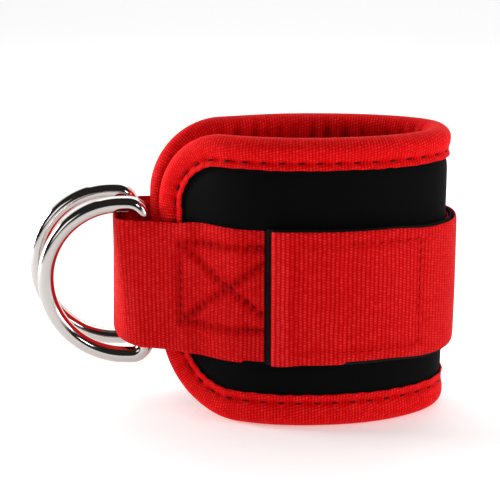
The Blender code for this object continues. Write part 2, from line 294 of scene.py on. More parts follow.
def sweep(name, rings, along, around, closed=False, pull=None):
    """A closed skin through rings of points, with distances along and around it for the weave.

    rings is an array (ring, point, xyz). An open sweep gets a flat cap at each end.
    """
    count, sides = rings.shape[:2]
    faces = []
    uvs = []
    for ring in range(count if closed else count - 1):
        after = (ring + 1) % count
        for side in range(sides):
            beside = (side + 1) % sides
            faces.append((
                ring * sides + side, after * sides + side,
                after * sides + beside, ring * sides + beside,
            ))
            uvs.extend((
                (along[ring], around[side]), (along[ring + 1], around[side]),
                (along[ring + 1], around[side + 1]), (along[ring], around[side + 1]),
            ))
    if not closed:
        faces.append(tuple(range(sides)))
        uvs.extend((along[0], around[side]) for side in range(sides))
        faces.append(tuple((count - 1) * sides + side for side in reversed(range(sides))))
        uvs.extend((along[-1], around[side]) for side in reversed(range(sides)))
    return new_mesh(name, rings.reshape(-1, 3), faces, uvs, pull)


def section(width, thickness, columns):
    """The outline of a flat strip's cross-section with soft edges: (across, out) pairs."""
    share = -np.cos(np.linspace(0.0, math.pi, columns + 1))
    spread = share * (STRIP_MIDDLE_SPREAD + (1 - STRIP_MIDDLE_SPREAD) * np.abs(share))
    across = spread * width / 2
    out = thickness / 2 * (1 - np.abs(spread) ** STRIP_SQUARENESS) ** 0.5
    outer = np.stack((across, out), axis=1)
    inner = np.stack((across[1:-1], -out[1:-1]), axis=1)[::-1]
    return np.vstack((outer, inner))


def strip(name, low_path, high_path, width, thickness, columns=STRIP_COLUMNS, relief=None,
          trims=None, passed=0.0):
    """A length of webbing or tape on edge between two plan paths, for its lower and upper edge.

    relief(across) gives, for each place along and each height across, how far the outer face
    is pushed out and how much painted shade darkens it. trims holds, for each place along, how
    much higher than usual the lower and the upper edge lie. passed is the length of the piece
    that this one carries on from, so that their ribs line up.
    """
    along = passed + lengths_along((low_path + high_path) / 2)
    outline = section(width, thickness, columns)
    across = outline[:, 0]
    share = (across / width + 0.5)[None, :, None]
    out = outward_of(low_path)[:, None, :] * (1 - share) + outward_of(high_path)[:, None, :] * share
    plan = low_path[:, None, :] * (1 - share) + high_path[:, None, :] * share
    depth = np.broadcast_to(outline[None, :, 1], plan.shape[:2])
    pull = np.zeros(depth.shape)
    if relief is not None:
        push, pull = relief(across[None, :])
        depth = depth + push
    height = STRAP_HEIGHT + across[None, :] + sag(plan)
    if trims is not None:
        low_trim, high_trim = trims
        height = height + low_trim[:, None] * (1 - share[..., 0]) + high_trim[:, None] * share[..., 0]
    rings = np.concatenate((plan + depth[..., None] * out, height[..., None]), axis=-1)
    around = np.concatenate((across, across[:1]))
    piece = sweep(name, rings, along, around, pull=pull)
    piece.data.set_sharp_from_angle(angle=CAP_ANGLE)
    return piece


def path_on_band(start, end, below, thickness):
    """The plan path of a layer that follows the band's surface."""
    count = max(2, round(abs(end - start) / PATH_SPACING))
    distance = np.linspace(start, end, count + 1)
    return PLAN.at(distance, layer_offset(distance, below, thickness))


def sag(plan):
    """How much higher than usual a strip lies at plan points; negative round the closed end."""
    return -STRAP_SAG * smooth(plan[..., 0], SAG_START, SAG_END)


def resample(line, count):
    """The same line with evenly spaced points."""
    distance = lengths_along(line)
    even = np.linspace(0.0, distance[-1], count)
    return np.stack([np.interp(even, distance, line[:, axis]) for axis in range(2)], axis=1)


# Padded band


BAND_COLUMNS = 96
BAND_ROWS = 36
BAND_END_CROWDING = 0.055
BAND_UNDER_BINDING = 0.0028
BAND_RISE_START = 0.009
BAND_RISE_END = 0.015
BAND_PINNED_DEPTH = 0.0100
STRAP_PINNED_MARGIN = 0.001
CLOTH_FRAMES = 20
CLOTH_PRESSURE = 4.0
CLOTH_TENSION = 8.0
CLOTH_BENDING = 2.0
PUFF_CAP = 0.0018
# Each layer's piece, node, look, and the shares of the pad's thickness where it starts and ends
BAND_LAYERS = (
    ("neoprene_face", "outer_panel", "neoprene", 0.0, 0.25),
    ("foam_padding", "foam_core", "foam", 0.28, 0.80),
    ("ankle_lining", "inner_lining", "lining", 0.83, 1.0),
)


def corner_drop(distance, inset, radius):
    """How far a rounded corner cuts the band's upper or lower edge at this distance."""
    radius = radius - inset
    from_end = np.minimum(distance, PLAN.length - distance) - inset
    inward = np.clip(radius - from_end, 0.0, radius)
    return radius - np.sqrt(radius ** 2 - inward ** 2)


def depth_from_edge(distance, height):
    """How deep a place on the band lies inside its rounded outline."""
    across = np.minimum(distance, PLAN.length - distance)
    up = np.minimum(height - BAND_LOW, BAND_HIGH - height)
    upper = height > (BAND_LOW + BAND_HIGH) / 2
    radius = np.where(upper, UPPER_RADIUS, LOWER_RADIUS)
    in_corner = (across < radius) & (up < radius)
    reach = np.hypot(radius - across, radius - up)
    return np.where(in_corner, radius - reach, np.minimum(across, up))


def band_places():
    """Grids of distance and height that cover the band inside its binding."""
    share = np.linspace(0.0, 1.0, BAND_COLUMNS)
    share = share - np.sin(2 * math.pi * share) * BAND_END_CROWDING
    distance = PANEL_INSET + (PLAN.length - 2 * PANEL_INSET) * share
    low = BAND_LOW + PANEL_INSET + corner_drop(distance, PANEL_INSET, LOWER_RADIUS)
    high = BAND_HIGH - PANEL_INSET - corner_drop(distance, PANEL_INSET, UPPER_RADIUS)
    rows = np.linspace(0.0, 1.0, BAND_ROWS)[None, :]
    height = low[:, None] * (1 - rows) + high[:, None] * rows
    return np.broadcast_to(distance[:, None], height.shape), height


def slab(name, outer, inner, distance, height):
    """A closed sheet between two grids of points."""
    columns, rows = outer.shape[:2]
    half = columns * rows

    def index(column, row, side):
        return side * half + column * rows + row

    faces = []
    uvs = []
    for side in (0, 1):
        for column in range(columns - 1):
            for row in range(rows - 1):
                corners = ((column, row), (column + 1, row), (column + 1, row + 1), (column, row + 1))
                if side:
                    corners = corners[::-1]
                faces.append(tuple(index(*corner, side) for corner in corners))
                uvs.extend((distance[corner], height[corner]) for corner in corners)
    rim = [(column, 0) for column in range(columns - 1)]
    rim += [(columns - 1, row) for row in range(rows - 1)]
    rim += [(column, rows - 1) for column in range(columns - 1, 0, -1)]
    rim += [(0, row) for row in range(rows - 1, 0, -1)]
    for here, there in zip(rim, rim[1:] + rim[:1]):
        faces.append((index(*here, 0), index(*here, 1), index(*there, 1), index(*there, 0)))
        uvs.extend((distance[place], height[place]) for place in (here, here, there, there))
    points = np.vstack((outer.reshape(-1, 3), inner.reshape(-1, 3)))
    return new_mesh(name, points, faces, uvs)


def puff(pad, pinned):
    """Inflates a pad by cloth simulation, holding its pinned points, and returns its points."""
    rest = np.array([vert.co for vert in pad.data.vertices])
    group = pad.vertex_groups.new(name="pinned")
    group.add([int(index) for index in np.flatnonzero(pinned)], 1.0, "REPLACE")
    cloth = pad.modifiers.new("Cloth", "CLOTH")
    cloth.settings.vertex_group_mass = group.name
    cloth.settings.use_pressure = True
    cloth.settings.uniform_pressure_force = CLOTH_PRESSURE
    cloth.settings.tension_stiffness = CLOTH_TENSION
    cloth.settings.bending_stiffness = CLOTH_BENDING
    cloth.settings.effector_weights.gravity = 0.0
    cloth.collision_settings.use_self_collision = False
    for number in range(1, CLOTH_FRAMES + 1):
        bpy.context.scene.frame_set(number)
    shape = pad.evaluated_get(bpy.context.evaluated_depsgraph_get())
    moved = np.array([vert.co for vert in shape.data.vertices])
    bpy.context.scene.frame_set(1)
    pad.modifiers.remove(cloth)
    move = moved - rest
    size = np.linalg.norm(move, axis=1)[:, None]
    size = np.maximum(size, np.finfo(float).tiny)
    move *= PUFF_CAP * np.tanh(size / PUFF_CAP) / size
    return rest + move


def make_band():
    """Neoprene face, foam and lining, from one pad that is puffed up between its seams."""
    distance, height = band_places()
    depth = depth_from_edge(distance, height)
    rise = smooth(depth, BAND_RISE_START, BAND_RISE_END)
    offset = BAND_UNDER_BINDING + (BAND_HALF - BAND_UNDER_BINDING) * rise
    outer = on_band(distance, height, offset)
    inner = on_band(distance, height, -offset)
    pad = slab("band_form", outer, inner, distance, height)
    under_binding = depth < BAND_PINNED_DEPTH
    under_strap = np.abs(height - STRAP_HEIGHT) < WEBBING_WIDTH / 2 + STRAP_PINNED_MARGIN
    pinned = np.concatenate(((under_binding | under_strap).ravel(), under_binding.ravel()))
    points = puff(pad, pinned)
    bpy.data.objects.remove(pad, do_unlink=True)
    outer = points[:outer.size // 3].reshape(outer.shape)
    inner = points[outer.size // 3:].reshape(inner.shape)
    for name, node, look, near, far in BAND_LAYERS:
        piece = slab(name, outer + (inner - outer) * near, outer + (inner - outer) * far,
                     distance, height)
        add_subdivision(piece)
        dress(piece, "cuff", look, node)


def add_subdivision(piece):
    modifier = piece.modifiers.new("Softness", "SUBSURF")
    modifier.levels = 1
    modifier.render_levels = 1


def dress(piece, body, look, *nodes):
    """Gives a piece its material, puts it on the body it rides on, and hides the parts of the nodes
    it stands for.

    A piece that crosses between two bodies rides on neither, so its body is None.
    """
    piece.data.materials.append(MATERIALS[look])
    if body:
        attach(piece, body)
    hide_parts(*nodes)


# Binding


BINDING_LEG_POINTS = 22
BINDING_TURN_POINTS = 15
# Relief: the roll over the edge, the groove of the seam, and the lip that waves between stitches
ROLL_HEIGHT = 0.00042
ROLL_RISE = (0.0005, 0.0040)
ROLL_FALL = (0.0048, 0.0082)
GROOVE_WIDTH = 0.0009
GROOVE_DEPTH = 0.00050
STITCH_PINCH = 0.00022
LIP_FLARE = 0.00022
LIP_WAVE = 0.00010
LIP_TO_SEAM = 0.0006
LIP_TAPER = 0.35
SCALLOP = 0.00009
SCALLOP_DRIFT = 0.00012
# Gathers of the tape under its seam, faint outside and deep inside
GATHER_MIDDLE = 0.0078
GATHER_WIDTH = 0.0046
GATHER_OUTSIDE = 0.00012
GATHER_INSIDE = 0.00125
GATHER_MEAN = 0.55
GATHER_UNEVEN = ((0.30, 173.0, 2.0), (0.15, 411.0, 0.0))
GATHER_WANDER = ((0.9, 131.0, 0.0), (0.7, 297.0, 1.0))
# Painted shade in the tape's colour: in the gathers' valleys, faint outside and deep inside, on the
# leg that faces into the cuff, in the seam's groove and under each stitch
SHADE_OUTSIDE = 0.15
SHADE_INSIDE = 1.30
SHADE_FACING_IN = 0.22
FACING_IN_DEPTH = (0.003, 0.006)
SHADE_GROOVE = 0.20
SHADE_STITCH = 0.45


def outline(count):
    """Places round the band's outline, evenly spaced: distance, height and outward direction.

    Also gives the length of the whole outline.
    """
    side = BAND_HEIGHT - LOWER_RADIUS - UPPER_RADIUS
    corners = (
        (LOWER_RADIUS, PLAN.length - 2 * LOWER_RADIUS), (UPPER_RADIUS, side),
        (UPPER_RADIUS, PLAN.length - 2 * UPPER_RADIUS), (LOWER_RADIUS, side),
    )
    total = sum(run + radius * math.pi / 2 for radius, run in corners)
    places = []
    start = np.array((LOWER_RADIUS, BAND_LOW))
    heading = 0.0
    passed = 0.0
    spots = np.arange(count) / count * total
    for radius, run in corners:
        ahead = np.array((math.cos(heading), math.sin(heading)))
        out = np.array((ahead[1], -ahead[0]))
        end = start + ahead * run
        centre = end - out * radius
        turn_end = passed + run + radius * math.pi / 2
        for spot in spots[(spots >= passed) & (spots < turn_end)] - passed:
            if spot <= run:
                places.append((*(start + ahead * spot), *out))
            else:
                angle = (spot - run) / radius
                turned = out * math.cos(angle) + ahead * math.sin(angle)
                places.append((*(centre + turned * radius), *turned))
        start = centre + ahead * radius
        passed = turn_end
        heading += math.pi / 2
    return np.array(places), total


def binding_profile():
    """Depth and offset of the mid line of the folded tape, from its outer to its inner edge."""
    leg = np.linspace(BINDING_DEPTH, BINDING_FOLD, BINDING_LEG_POINTS)
    turn = np.linspace(0.0, math.pi, BINDING_TURN_POINTS + 2)[1:-1]
    depth = np.concatenate((leg, BINDING_FOLD * (1 - np.sin(turn)), leg[::-1]))
    offset = np.concatenate((
        np.full(leg.size, BINDING_OFFSET), BINDING_OFFSET * np.cos(turn),
        np.full(leg.size, -BINDING_OFFSET),
    ))
    return depth, offset


def binding_relief(place, depth, side):
    """How far the tape stands off its mean surface, and the painted shade in its gathers, its seam
    and its inner leg.
    """
    outside = side > 0
    phase = 2 * math.pi * place / BINDING_STITCH_PITCH
    under_stitch = 0.5 + 0.5 * np.cos(phase)
    between = phase + waves(place, GATHER_WANDER)
    seam = dent(depth - BINDING_SEAM_DEPTH, GROOVE_WIDTH)
    groove = seam * (GROOVE_DEPTH + STITCH_PINCH * under_stitch)
    roll = ROLL_HEIGHT * smooth(depth, *ROLL_RISE) * (1 - smooth(depth, *ROLL_FALL))
    lip = smooth(depth, BINDING_SEAM_DEPTH + LIP_TO_SEAM, BINDING_DEPTH)
    flare = lip * (LIP_FLARE - LIP_WAVE * np.cos(between))
    uneven = GATHER_MEAN + waves(place, GATHER_UNEVEN)
    valley = uneven * (0.5 + 0.5 * np.cos(between)) ** 2 * dent(depth - GATHER_MIDDLE, GATHER_WIDTH)
    gather = np.where(outside, GATHER_OUTSIDE, GATHER_INSIDE) * valley
    # Painted shade: darker in the gathers' valleys, on the leg facing in, and in the seam's groove
    # and stitches
    pull = np.where(outside, SHADE_OUTSIDE, SHADE_INSIDE) * valley
    pull = pull + seam * (SHADE_GROOVE + SHADE_STITCH * under_stitch)
    pull = pull + SHADE_FACING_IN * smooth(-side * depth, *FACING_IN_DEPTH)
    return roll + flare - groove - gather, np.clip(pull, 0.0, 1.0)


def binding_depth(depth, side, out_up):
    """Depth on one leg of the tape, which leans over the edge above and below."""
    lean = -BINDING_LEAN * out_up * side
    return depth * (1 + lean * depth / BINDING_DEPTH ** 2)


def make_binding():
    """Tape folded over the band's edge, gathered and pinched by its seam, with painted shade in its
    gathers and seam.
    """
    count = round(2 * (PLAN.length + BAND_HEIGHT) / PATH_SPACING)
    places, total = outline(count)
    out_along = places[:, 2:3]
    out_up = places[:, 3:4]
    depth, offset = binding_profile()
    mid = np.stack((depth, offset), axis=1)
    normal = unit(np.stack((np.gradient(offset), -np.gradient(depth)), axis=1))
    place = np.linspace(0.0, total, count, endpoint=False)[:, None]
    side = np.sign(offset + 1e-9)[None, :]
    relief, pull = binding_relief(place, depth[None, :], side)
    scallop = SCALLOP * np.cos(2 * math.pi * place / BINDING_STITCH_PITCH)
    scallop = scallop + SCALLOP_DRIFT * np.sin(place * 113.0) * np.sin(place * 271.0)
    scallop = scallop * smooth(depth, BINDING_SEAM_DEPTH, BINDING_DEPTH)[None, :]
    edge = np.ones(depth.size)
    edge[[0, -1]] = LIP_TAPER
    faces = []
    for face in (1, -1):
        stand_off = relief + face * BINDING_HALF_THICKNESS * edge
        skin = mid[None] + normal[None] * stand_off[..., None]
        deep = binding_depth(skin[..., 0], side, out_up) + scallop + BINDING_SINK
        distance = places[:, 0:1] - out_along * deep
        height = places[:, 1:2] - out_up * deep
        points = on_band(distance, height, skin[..., 1])
        faces.append(points if face > 0 else points[:, ::-1])
    rings = np.concatenate(faces, axis=1)
    tape = lengths_along(mid)
    around = np.concatenate((tape, tape[::-1], tape[:1]))
    along = np.linspace(0.0, total, count + 1)
    pull = np.concatenate((pull, pull[:, ::-1]), axis=1)
    piece = sweep("binding_tape", rings, along, around, closed=True, pull=pull)
    dress(piece, "cuff", "binding", "edge_binding")


# Stitches


STITCH_RINGS = 7
STITCH_SIDES = 6
STITCH_TIP = 0.25
STITCH_BEND = 1.1
BINDING_SEAM_POINTS = 800
BINDING_THREAD_LENGTH = 0.0029
BINDING_THREAD_RADIUS = 0.00034
BINDING_THREAD_SINK = 0.00036


def stitch(points, faces, centre, along, out, length, radius):
    """Adds one thread stitch, a short bent capsule, to lists of points and faces."""
    across = np.cross(out, along)
    first = len(points)
    last = first + (STITCH_RINGS - 1) * STITCH_SIDES
    for share in np.linspace(-1.0, 1.0, STITCH_RINGS):
        girth = radius * max(STITCH_TIP, math.sqrt(1 - share ** 4))
        sink = radius * STITCH_BEND * share ** 2
        middle = centre + along * (share * length / 2) - out * sink
        for side in range(STITCH_SIDES):
            turn = 2 * math.pi * side / STITCH_SIDES
            points.append(middle + girth * (math.cos(turn) * out + math.sin(turn) * across))
    for low in range(first, last, STITCH_SIDES):
        high = low + STITCH_SIDES
        for side in range(STITCH_SIDES):
            beside = (side + 1) % STITCH_SIDES
            faces.append((low + side, low + beside, high + beside, high + side))
    faces.append(tuple(first + side for side in reversed(range(STITCH_SIDES))))
    faces.append(tuple(last + side for side in range(STITCH_SIDES)))


def stitch_line(points, faces, places, pitch, length, radius, offset):
    """Stitches along a line of (distance, height) places on the band's surface.

    offset(distance, height) is how far the thread's middle lies from the plan line.
    """
    places = np.asarray(places, float)
    run = lengths_along(places)
    count = max(1, round(run[-1] / pitch))
    for number in range(count):
        middle = (number + 0.5) * run[-1] / count
        spots = []
        for place in (middle - length / 2, middle, middle + length / 2):
            distance, height = (np.interp(place, run, places[:, axis]) for axis in (0, 1))
            spots.append((distance, height, offset(distance, height)))
        start, centre, end = (on_band(*spot) for spot in spots)
        along = unit(end - start)
        distance, height, _ = spots[1]
        out = centre - on_band(distance, height, 0.0)
        out = unit(out - along * (out @ along))
        stitch(points, faces, centre, along, out, length, radius)


def make_seam(name, body, look, node, lines, pitch, length, radius, offset):
    """A piece made of the stitches along some lines on the band."""
    points = []
    faces = []
    for line in lines:
        stitch_line(points, faces, line, pitch, length, radius, offset)
    dress(new_mesh(name, points, faces), body, look, node)


def make_binding_seams():
    """Sunken stitches round the tape, on its outer and its inner leg, in thread darkened with painted
    shade.
    """
    places, _ = outline(BINDING_SEAM_POINTS)
    surface = BINDING_OFFSET + BINDING_HALF_THICKNESS - BINDING_THREAD_SINK
    for name, node, side in (
        ("outer_binding_seam", "outer_binding_stitch", 1),
        ("inner_binding_seam", "inner_binding_stitch", -1),
    ):
        deep = binding_depth(BINDING_SEAM_DEPTH, side, places[:, 3:4]) + BINDING_SINK
        seam = places[:, :2] - places[:, 2:] * deep
        seam = np.vstack((seam, seam[:1]))
        make_seam(name, "cuff", "dark_thread", node, [seam], BINDING_STITCH_PITCH,
                  BINDING_THREAD_LENGTH, BINDING_THREAD_RADIUS,
                  lambda distance, height: side * surface)


# Closure strap and main webbing


BOX_LOW = STRAP_LOW + 0.0121
BOX_HIGH_LEFT = STRAP_HIGH - 0.0077
BOX_HIGH_RIGHT = STRAP_HIGH - 0.0062
TAIL_SEAM_FROM_END = 0.0068
TAIL_SEAM_INSET = 0.0050
TAIL_SEAM_TO_HINGE = 0.0040
REAR_SEAM_FROM_FOLD = 0.0015
REAR_SEAM_INSET = 0.0070
BOX_PITCH = 0.0032
THREAD_LENGTH = 0.0021
THREAD_RADIUS = 0.00027
SEAM_WIDTH = 0.0015
SEAM_PULSE = 0.28
SEAM_SINK = 0.00060
ROOT_THREAD_SINK = 0.00051
TAIL_SEAM_SINK = 0.00022
TAIL_THREAD_SINK = -0.00006

# How many points draw the strap's fold, the rear ring's loop and the main webbing
FOLD_POINTS = 96
FOLD_STEPS = 12
REAR_LOOP_POINTS = 28
MAIN_WEBBING_POINTS = 420
# How far to each side of the tail's hinge a bend would reach
HINGE_REACH = 0.0080

# How the strap's edges stray from straight: smooth steps as (size, from, to)
WRAP_LOWER_TRIM = ((0.0006, 0.050, 0.058), (0.0008, TAIL_HEM_END, TAIL_HEM_END + 0.0010))
FOLD_UPPER_TRIM = ((-0.0010, 0.4, 0.9),)
ROOT_LOWER_TRIM = ((-0.0007, 0.010, 0.030), (0.0009, 0.0362, 0.0370))
ROOT_UPPER_TRIM = ((0.0010, 0.010, 0.018), (-0.0007, 0.022, 0.038))
ROOT_UPPER_DROP = 0.0010

# Relief of its outer face: the hem of the tail, its rounded and lifted end, waves and a hollow
HEM_RELIEF = ((-0.00035, TAIL_HEM_END - 0.001, TAIL_HEM_END + 0.001),)
HEM_HEIGHT = 0.00035
END_RELIEF = ((0.0007, 0.0, 0.0016), (-0.0005, 0.001, 0.010))
END_HEIGHT = -0.0002
ROOT_RELIEF = ((-0.00030, 0.0362, 0.0372),)
WRAP_WAVE = (0.00010, 190.0, 90.0)
ROOT_WAVE = (0.00016, 310.0, 140.0)
# Colour, not relief: a painted highlight that makes the tail's end paler, fading over its reach, and
# painted shade along the tail's seam
TAIL_END_HIGHLIGHT = 0.22
TAIL_END_HIGHLIGHT_REACH = (0.0040, 0.0070)
TAIL_SEAM_SHADE = 0.25


def root_seam():
    """Lines of the crossed box on the strap's root; the tapes cover the box's far side."""
    start = BOX_STITCH_START
    corners = (
        ((start, BOX_LOW), (start, BOX_HIGH_LEFT)),
        ((start, BOX_HIGH_LEFT), (BOX_STITCH_END, BOX_HIGH_RIGHT)),
        ((start, BOX_LOW), (BOX_STITCH_END, BOX_LOW)),
        ((start, BOX_LOW), (BOX_STITCH_END, BOX_HIGH_RIGHT)),
        ((start, BOX_HIGH_LEFT), (BOX_STITCH_END, BOX_LOW)),
    )
    lines = []
    for near, far in corners:
        near = np.array(near)
        far = np.array(far)
        if far[0] > STRAP_ROOT_END:
            far = near + (far - near) * (STRAP_ROOT_END - near[0]) / (far[0] - near[0])
        lines.append(np.array((near, far)))
    return lines


def box_seam(start, end, inset, crossed):
    """Lines of (distance, height) places that a boxed seam follows."""
    low = STRAP_LOW + inset
    high = STRAP_HIGH - inset
    lines = [
        ((start, low), (start, high)), ((start, high), (end, high)),
        ((end, high), (end, low)), ((end, low), (start, low)),
    ]
    if crossed:
        lines += [((start, low), (end, high)), ((start, high), (end, low))]
    return [np.array(line) for line in lines]


def seam_pull_and_shade(distance, height, lines):
    """How hard sewn lines pull the webbing down at each place, from 0 to 1; the same value weighs the
    painted shade along the seams.
    """
    hardest = np.zeros(np.broadcast(distance, height).shape)
    for start, end in lines:
        run = end - start
        share = ((distance - start[0]) * run[0] + (height - start[1]) * run[1]) / (run @ run)
        share = np.clip(share, 0.0, 1.0)
        gap = np.hypot(distance - start[0] - share * run[0], height - start[1] - share * run[1])
        stitches = np.cos(2 * math.pi * share * np.linalg.norm(run) / BOX_PITCH)
        needle = 1 - SEAM_PULSE + SEAM_PULSE * stitches
        hardest = np.maximum(hardest, dent(gap, SEAM_WIDTH) * needle)
    return hardest


ROOT_SEAM = root_seam()
TAIL_SEAM = box_seam(TAIL_END + TAIL_SEAM_FROM_END, TAIL_HINGE - TAIL_SEAM_TO_HINGE,
                     TAIL_SEAM_INSET, False)


class StrapPath:
    """The closure strap's way: from the tail round the band, through the rings, to its root."""

    def __init__(self):
        rear = PLAN.length - FOLD_REAR_REACH
        self.wrap = np.linspace(TAIL_END, rear, round((rear - TAIL_END) / PATH_SPACING))
        root_count = round((STRAP_ROOT_END - FOLD_FRONT_START) / PATH_SPACING)
        self.root = np.linspace(FOLD_FRONT_START, STRAP_ROOT_END, root_count)
        wrap = PLAN.at(self.wrap, layer_offset(self.wrap, STRAP_BELOW, WEBBING_THICKNESS))
        root = PLAN.at(self.root, layer_offset(self.root, 0.0, WEBBING_THICKNESS))
        self.fold = np.linspace(0.0, 1.0, FOLD_POINTS)[1:-1]
        paths = []
        for fold in (FOLD_LOWER, FOLD_UPPER):
            corners = np.vstack((wrap[-2], wrap[-1], np.array(fold[::-1]) + SHIFT, root[0], root[1]))
            bend = catmull_rom(corners, FOLD_STEPS)[FOLD_STEPS:-FOLD_STEPS]
            paths.append(np.vstack((wrap, resample(bend, FOLD_POINTS)[1:-1], root)))
        self.low, self.high = paths

    def each(self, on_wrap, on_fold, on_root):
        """Joins what three functions give for the strap's three stretches."""
        return np.concatenate((on_wrap(self.wrap), on_fold(self.fold), on_root(self.root)))


STRAP = StrapPath()


def strap_trims():
    """How the strap's lower and upper edges stray from straight."""
    low = STRAP.each(
        lambda distance: ramps(distance, WRAP_LOWER_TRIM),
        np.zeros_like,
        lambda distance: ramps(distance, ROOT_LOWER_TRIM),
    )
    high = STRAP.each(
        np.zeros_like,
        lambda share: ramps(share, FOLD_UPPER_TRIM),
        lambda distance: ramps(distance, ROOT_UPPER_TRIM) - ROOT_UPPER_DROP,
    )
    return low, high


def slanting_wave(distance, height, wave):
    """A faint wave on the webbing, from its size and its rates along and across."""
    size, along, across = wave
    return size * np.sin(distance * along + height * across)


def strap_relief(across):
    """Seams, the hem of the tail and slight waves on the closure strap, with painted shade along the
    seams and a painted highlight on the tail's end.
    """
    height = STRAP_HEIGHT + across
    wrap = STRAP.wrap[:, None]
    root = STRAP.root[:, None]
    push = np.zeros((STRAP.low.shape[0], across.shape[1]))
    pull = np.zeros(push.shape)
    tail_pull_and_shade = seam_pull_and_shade(wrap, height, TAIL_SEAM)
    root_pull_and_shade = seam_pull_and_shade(root, height, ROOT_SEAM)
    hem = HEM_HEIGHT + ramps(wrap, HEM_RELIEF)
    end = END_HEIGHT + ramps(wrap - TAIL_END, END_RELIEF)
    push[:wrap.size] = hem + end + slanting_wave(wrap, height, WRAP_WAVE) - TAIL_SEAM_SINK * tail_pull_and_shade
    # Painted shade along the tail's seam, less a painted highlight that makes the tail's end paler
    end_highlight = TAIL_END_HIGHLIGHT * (1 - smooth(wrap - TAIL_END, *TAIL_END_HIGHLIGHT_REACH))
    pull[:wrap.size] = TAIL_SEAM_SHADE * tail_pull_and_shade - end_highlight
    hollow = ramps(root, ROOT_RELIEF)
    push[-root.size:] = hollow + slanting_wave(root, height, ROOT_WAVE) - SEAM_SINK * root_pull_and_shade
    # Painted shade along the box seam on the strap's root
    pull[-root.size:] = root_pull_and_shade
    return push, pull


def make_closure_strap():
    """The strap, as the end that peels off and the rest of it up to its sewn root."""
    split = int(np.searchsorted(STRAP.wrap, TAIL_SPLIT))
    along = lengths_along((STRAP.low + STRAP.high) / 2)
    trims = strap_trims()
    for name, node, body, places, rests_on in (
        ("strap_tail_webbing", "strap_tail", None, slice(0, split + 1), "loop_tape_pile"),
        ("closure_strap_webbing", "closure_strap", "cuff", slice(split, None), "neoprene_face"),
    ):
        def relief(across):
            push, pull = strap_relief(across)
            return push[places], pull[places]

        piece = strip(name, STRAP.low[places], STRAP.high[places], WEBBING_WIDTH,
                      WEBBING_THICKNESS, columns=STRAP_COLUMNS, relief=relief,
                      trims=[trim[places] for trim in trims], passed=along[places][0])
        dress_strip(piece, body, "webbing", node)


def dress_strip(piece, body, look, node):
    """Dresses a stretched strip; one without a body of its own also has its transform baked at the
    tail's hinge.
    """
    dress(piece, body, look, node)
    if body is None:
        bend_at_hinge(piece)


def bend_at_hinge(piece):
    """Works out where a bend at the tail's hinge would start and end, and bakes the piece's transform
    into its points.
    """
    offset = layer_offset(TAIL_HINGE, STRAP_BELOW, WEBBING_THICKNESS)
    start = on_band(TAIL_HINGE + HINGE_REACH, STRAP_HEIGHT, offset)
    end = on_band(TAIL_HINGE - HINGE_REACH, STRAP_HEIGHT, offset)
    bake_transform(piece)


def make_main_webbing():
    """Webbing round the band; its rear end folds round the rear ring's bar and back."""
    bar = np.array(JOINTS["rear_ring_swing"]["pos_m"][:2])
    end = PLAN.length
    out = PLAN.at(end, 1.0) - PLAN.at(end, 0.0)
    ahead = np.array((-out[1], out[0]))
    radius = WIRE_RADIUS + RING_LOOP_GAP + WEBBING_THICKNESS / 2
    turns = np.linspace(RING_LOOP_FROM, RING_LOOP_TO, REAR_LOOP_POINTS)[:, None]
    loop = bar + radius * (np.cos(turns) * ahead + np.sin(turns) * out)
    lower = path_on_band(LOOP_START, end, 0.0, WEBBING_THICKNESS)
    upper = path_on_band(end - RING_FOLD_START, end - RING_FOLD_LENGTH, LOOP_BELOW,
                         WEBBING_THICKNESS)
    path = resample(np.vstack((lower, loop, upper)), MAIN_WEBBING_POINTS)
    trims = (np.zeros(len(path)), np.full(len(path), -MAIN_WEBBING_TRIM))
    piece = strip("main_webbing_strip", path, path, WEBBING_WIDTH, WEBBING_THICKNESS, trims=trims)
    dress_strip(piece, "cuff", "webbing", "main_webbing")


def make_tapes():
    """Loop tape on the main webbing, and hook tape on the strap's inner face."""
    rear = PLAN.length - LOOP_TO_REAR_END
    for name, node, body, look, start, end, width, below, rests_on in (
        ("loop_tape_pile", "loop_tape", "cuff", "loop_tape", LOOP_START, rear, LOOP_TAPE_WIDTH,
         LOOP_BELOW, "main_webbing_strip"),
        ("wrap_hook_strip", "wrap_hook_tape", "cuff", "hook_tape", TAIL_SPLIT, HOOK_END,
         TAPE_WIDTH, HOOK_BELOW, "closure_strap_webbing"),
        ("tail_hook_strip", "tail_hook_tape", None, "hook_tape", HOOK_START, TAIL_SPLIT,
         TAPE_WIDTH, HOOK_BELOW, "strap_tail_webbing"),
    ):
        path = path_on_band(start, end, below, TAPE_THICKNESS)
        piece = strip(name, path, path, width, TAPE_THICKNESS)
        dress_strip(piece, body, look, node)


def make_box_seams():
    """The sewn seams on the webbing, as separate stitches."""
    rear_start = PLAN.length - RING_FOLD_LENGTH + REAR_SEAM_FROM_FOLD
    rear_end = PLAN.length - END_LIFT_REACH
    rear_seam = box_seam(rear_start, rear_end, REAR_SEAM_INSET, True)
    for name, node, body, lines, below, sink, look in (
        ("root_box_seam", "front_box_stitch", "cuff", ROOT_SEAM, 0.0, ROOT_THREAD_SINK, "thread"),
        ("rear_box_seam", "rear_box_stitch", "cuff", rear_seam, LOOP_BELOW, 0.0, "thread"),
        ("tail_seam", "tail_stitch", "tail", TAIL_SEAM, STRAP_BELOW, TAIL_THREAD_SINK,
         "bright_thread"),
    ):
        def on_webbing(distance, height):
            middle = layer_offset(distance, below, WEBBING_THICKNESS)
            return middle + (WEBBING_THICKNESS / 2 - sink)

        make_seam(name, body, look, node, lines, BOX_PITCH, THREAD_LENGTH, THREAD_RADIUS,
                  on_webbing)


# D-rings


RING_CORNER_POINTS = 9
RING_ARC_POINTS = 73
WIRE_SIDES = 24


